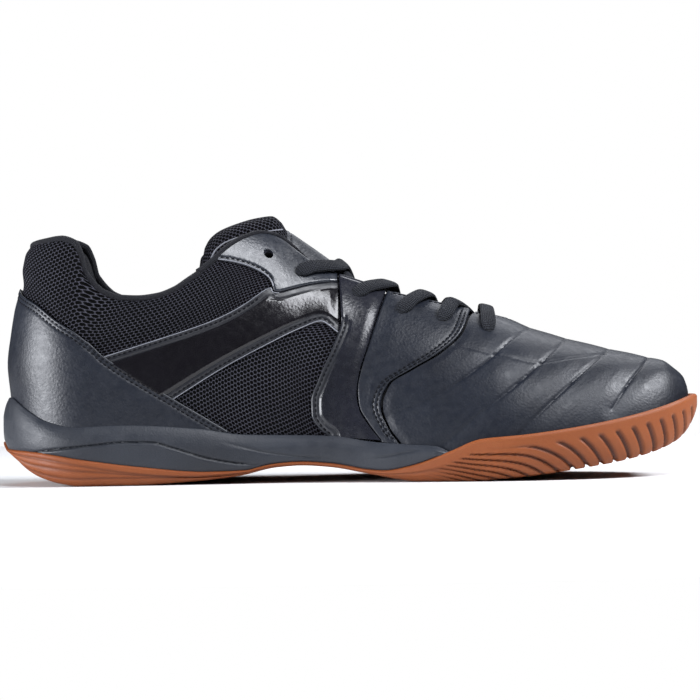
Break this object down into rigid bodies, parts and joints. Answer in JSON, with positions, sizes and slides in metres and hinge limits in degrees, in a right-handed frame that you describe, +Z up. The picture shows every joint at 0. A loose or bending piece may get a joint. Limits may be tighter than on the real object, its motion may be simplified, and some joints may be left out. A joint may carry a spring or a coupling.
{
  "type": "court shoe",
  "caption": "Low-cut indoor court shoe with a leather and mesh upper, padded collar and tongue, flat lace and wrap-up gum rubber outsole.",
  "frame": {"origin": "on the floor under the middle of the shoe's bounding box", "axes": "+X towards the toe, +Y towards the outer side of this left shoe, +Z up"},
  "size_m": [0.29, 0.1018, 0.1095],
  "materials": {
    "grain_leather": "matte charcoal-navy coated leather with a fine pebble grain",
    "gloss_leather": "black high-gloss coated leather",
    "satin_leather": "black half-gloss coated leather",
    "mesh": "black open air mesh",
    "lining": "black brushed polyester lining",
    "binding": "black knitted collar edge",
    "foam": "open-cell padding foam, hidden",
    "stiffener": "hidden stiffening sheet",
    "board": "fibre lasting board, hidden",
    "gum_rubber": "natural gum rubber, satin",
    "midsole_foam": "moulded foam with a painted dark grey skin",
    "insole_foam": "moulded insole foam",
    "insole_cloth": "black knitted insole cover",
    "lace": "black flat woven polyester lace",
    "aglet": "black plastic lace tip"
  },
  "bodies": {
    "root": {"outsole": "gum_rubber", "midsole": "midsole_foam", "lasting_board": "board", "vamp": "grain_leather", "vamp_lining": "lining", "toe_puff": "stiffener", "quarter_mesh_medial": "mesh", "quarter_mesh_lateral": "mesh", "quarter_lining_medial": "lining", "quarter_lining_lateral": "lining", "heel_counter": "stiffener", "heel_overlay": "grain_leather", "collar_foam": "foam", "collar_binding": "binding", "strap_medial": "gloss_leather", "strap_lateral": "gloss_leather", "saddle_medial": "satin_leather", "saddle_lateral": "satin_leather", "eyestay_medial": "grain_leather", "eyestay_lateral": "grain_leather", "facing_medial": "grain_leather", "facing_lateral": "grain_leather", "eyelet_backing_medial": "stiffener", "eyelet_backing_lateral": "stiffener", "lace": "lace", "lace_tail_medial": "lace", "lace_tail_lateral": "lace"},
    "tongue": {"tongue_face": "grain_leather", "tongue_foam": "foam", "tongue_lining": "lining"},
    "insole": {"insole": "insole_foam", "insole_cover": "insole_cloth", "aglet_medial": "aglet", "aglet_lateral": "aglet"}
  },
  "joints": [
    {"name": "tongue_flex", "type": "hinge", "parent": "root", "child": "tongue", "pos_m": [0.058, -0.0002, 0.0585], "axis": [0, -1, 0], "range_deg": [0, 10], "stiffness_Nm_per_rad": 1, "springref_deg": -6.88},
    {"name": "insole_lift", "type": "hinge", "parent": "root", "child": "insole", "pos_m": [0.134, -0.0065, 0.0225], "axis": [0, 1, 0], "range_deg": [0, 6], "deforming": ["lace_tail_medial", "lace_tail_lateral"]}
  ]
}
